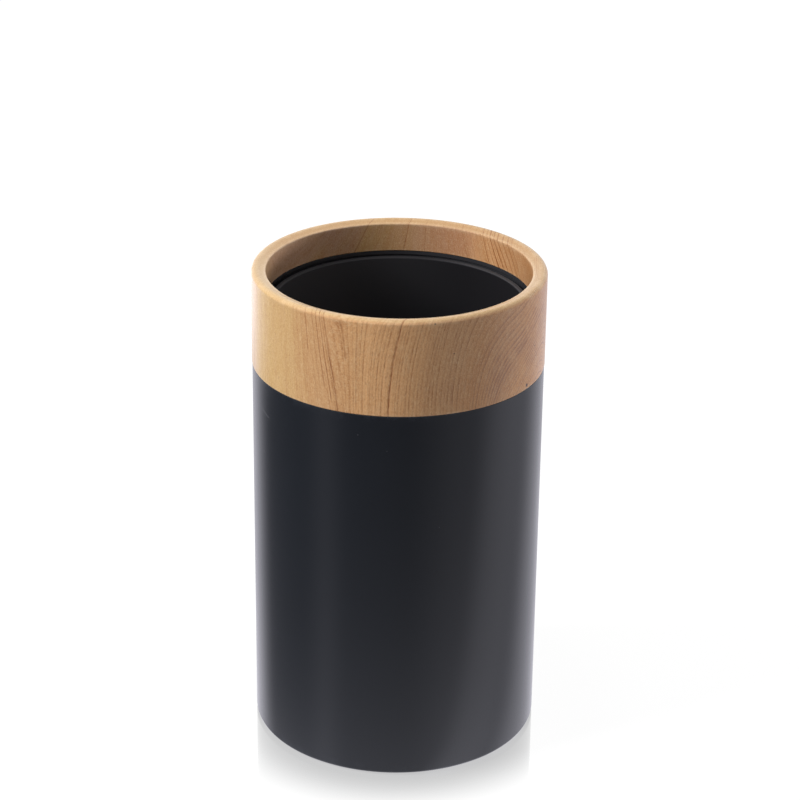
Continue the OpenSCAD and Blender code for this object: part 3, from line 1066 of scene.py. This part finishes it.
# Bands of the white surroundings as the dark body mirrors them: angles in degrees, lengths in metres.
# A band's lean is how far its edge turns for each tenfold of distance.
GLOW_FRONT = 0.16
GLOW_POOL, POOL_LENGTH, POOL_SIDE, POOL_SIDE_STEP = 0.66, 70 * MM, 0.62, (20, 90)
GLOW_LEFT, LEFT_STEP, LEFT_LEAN = 0.73, (118, 148), -4
GLOW_HUMP, HUMP_AT, HUMP_WIDTH = 0.21, -58, 12.5
GLOW_BROAD, BROAD_STEP = 0.24, (5, 55)
GLOW_RIGHT, RIGHT_STEP, RIGHT_LEAN = 0.42, (48, 74), -24
GLOW_TROUGH, TROUGH_AT, TROUGH_WIDTH, TROUGH_LEAN = 0.26, 108, 14, -21
LEAN_DISTANCE, LEAN_NEAREST = 60 * MM, 3 * MM
GLOW_FAR_LEFT, GLOW_FAR_RIGHT, FAR_STEP, FAR_SIDE_STEP = 0.85, -0.1, (215 * MM, 275 * MM), (100, 145)
GLOW_TINT = (1.0, 0.985, 1.09)
MIRROR_ROUNDS = 12
MIRROR_NEAREST = 0.999


def mirror_angle(angle, distance):
    """Twice the angle t of the body's wall that mirrors a place of the floor to the camera's side.

    The place lies on the line that leaves the wall at angle t in direction 2t, so t = (angle + asin(radius /
    distance * sin t)) / 2, which settles after a few rounds.
    """
    ratio = np.clip(sleeve.outside / distance, 0, MIRROR_NEAREST)
    turn = angle / 2
    for _ in range(MIRROR_ROUNDS):
        turn = (angle + np.arcsin(ratio * np.sin(turn))) / 2
    return np.degrees(2 * turn)


def glow(points):
    """How bright each place of the floor is in a reflection: dim in front, white paper behind and right.

    The level is a sum of smooth steps and bells of the mirror angle, and a pool near the base that fades
    exponentially outwards and is weaker at the sides.
    """
    x, y, _ = points.T
    angle = np.arctan2(x, -y)
    distance = np.maximum(np.hypot(x, y), sleeve.outside)
    away = distance - sleeve.outside
    mirrored = mirror_angle(angle, distance)
    lean = np.log10(np.maximum(away, LEAN_NEAREST) / LEAN_DISTANCE)
    beside = smooth(np.abs(np.degrees(angle)), *POOL_SIDE_STEP)
    pool = GLOW_POOL * np.exp(-away / POOL_LENGTH) * (1 - POOL_SIDE * beside)
    left = GLOW_LEFT * smooth(LEFT_LEAN * lean - mirrored, *LEFT_STEP)
    hump = GLOW_HUMP * bell(mirrored, HUMP_AT, HUMP_WIDTH)
    broad = GLOW_BROAD * smooth(mirrored, *BROAD_STEP)
    right = GLOW_RIGHT * smooth(mirrored + RIGHT_LEAN * lean, *RIGHT_STEP)
    trough = GLOW_TROUGH * bell(mirrored + TROUGH_LEAN * lean, TROUGH_AT, TROUGH_WIDTH)
    far_left = GLOW_FAR_LEFT * smooth(-mirrored, *FAR_SIDE_STEP)
    far_right = GLOW_FAR_RIGHT * smooth(mirrored, *FAR_SIDE_STEP)
    far = smooth(away, *FAR_STEP) * (far_left + far_right)
    return GLOW_FRONT + pool + left + hump + broad + right - trough + far


def floor_finish():
    """White to the camera, with a soft shadow and a faint mirrored foot, and its glow in reflections."""
    material, graph, shader, point = finish("white_floor")
    radius = graph.vector("LENGTH", graph.vector("MULTIPLY", point, (1.0, 1.0, 0.0)), output="Value")
    graph.give(shader, {"Base Color": FLOOR_BASE, "Roughness": 1.0, "Specular IOR Level": 0.0,
                        "Emission Color": WHITE, "Emission Strength": graph.ramp(radius, *HORIZON_STEP)})
    mirror = graph.add("ShaderNodeBsdfGlossy", {"Color": WHITE, "Roughness": FOOT_ROUGHNESS})
    seen = graph.add("ShaderNodeMixShader", {
        0: graph.ramp(radius, *FOOT_STEP), 1: shader.outputs[0], 2: mirror.outputs[0]})
    rays = graph.add("ShaderNodeLightPath").outputs
    tint = graph.mix(rays["Is Glossy Ray"], WHITE, GLOW_TINT)
    lit = graph.add("ShaderNodeEmission", {"Color": tint, "Strength": graph.attribute("glow")}).outputs[0]
    whole = graph.add("ShaderNodeMixShader", {0: rays["Is Camera Ray"], 1: lit, 2: seen.outputs[0]})
    graph.feed(whole.outputs[0], material.node_tree.nodes["Material Output"].inputs["Surface"])
    return material


def floor():
    """A round plain floor, as rings whose radii grow by equal ratios, with its reflected brightness on it."""
    radii = np.geomspace(FLOOR_HUB, FLOOR_RADIUS, FLOOR_RINGS)
    column = np.arange(FLOOR_COLUMNS)
    angle = FULL_TURN * column / FLOOR_COLUMNS
    across = radii[:, None] * np.sin(angle)
    ahead = -radii[:, None] * np.cos(angle)
    points = np.stack([across, ahead, np.zeros_like(across)], 2).reshape(-1, 3)
    beside = (column + 1) % FLOOR_COLUMNS
    low = FLOOR_COLUMNS * np.arange(FLOOR_RINGS - 1)[:, None]
    high = low + FLOOR_COLUMNS
    quads = np.stack([low + column, high + column, high + beside, low + beside], 2)
    mesh = bpy.data.meshes.new("floor")
    mesh.from_pydata(points.tolist(), [], quads.reshape(-1, 4).tolist() + [column.tolist()])
    write(mesh, "glow", glow(points))
    mesh.materials.append(floor_finish())
    made = shown("floor", mesh)


def world():
    """White to the camera, in reflections and through glass, and a plain grey light for everything else."""
    scene_world = bpy.data.worlds.new("studio")
    bpy.context.scene.world = scene_world
    scene_world.use_nodes = True
    graph = Graph(scene_world.node_tree)
    background = scene_world.node_tree.nodes["Background"]
    rays = graph.add("ShaderNodeLightPath").outputs
    seen = graph.largest([rays["Is Camera Ray"], rays["Is Glossy Ray"], rays["Is Transmission Ray"]])
    graph.give(background, {"Color": WHITE, "Strength": graph.ramp(seen, *WORLD_STEP)})


def softbox(name, azimuth, elevation, width, height, power):
    """An area light that looks at the middle of the tumbler from an azimuth and an elevation in degrees."""
    a, e = math.radians(azimuth), math.radians(elevation)
    way = Vector((math.sin(a) * math.cos(e), -math.cos(a) * math.cos(e), math.sin(e)))
    data = bpy.data.lights.new(name, "AREA")
    data.shape = "RECTANGLE"
    data.size = width
    data.size_y = height
    data.energy = power
    light = shown(name, data)
    light.location = Vector((0, 0, collar.high / 2)) + way * LIGHT_DISTANCE
    light.rotation_euler = way.to_track_quat("Z", "Y").to_euler()
    light.visible_glossy = False


floor()
world()
softbox("key", azimuth=-73, elevation=36, width=0.45, height=0.45, power=12.6)
softbox("low_strip", azimuth=130, elevation=8.5, width=0.5, height=0.1, power=8.5)
softbox("overhead", azimuth=0, elevation=89, width=0.5, height=0.5, power=3.2)
camera()
bpy.context.scene.view_settings.view_transform = "Standard"
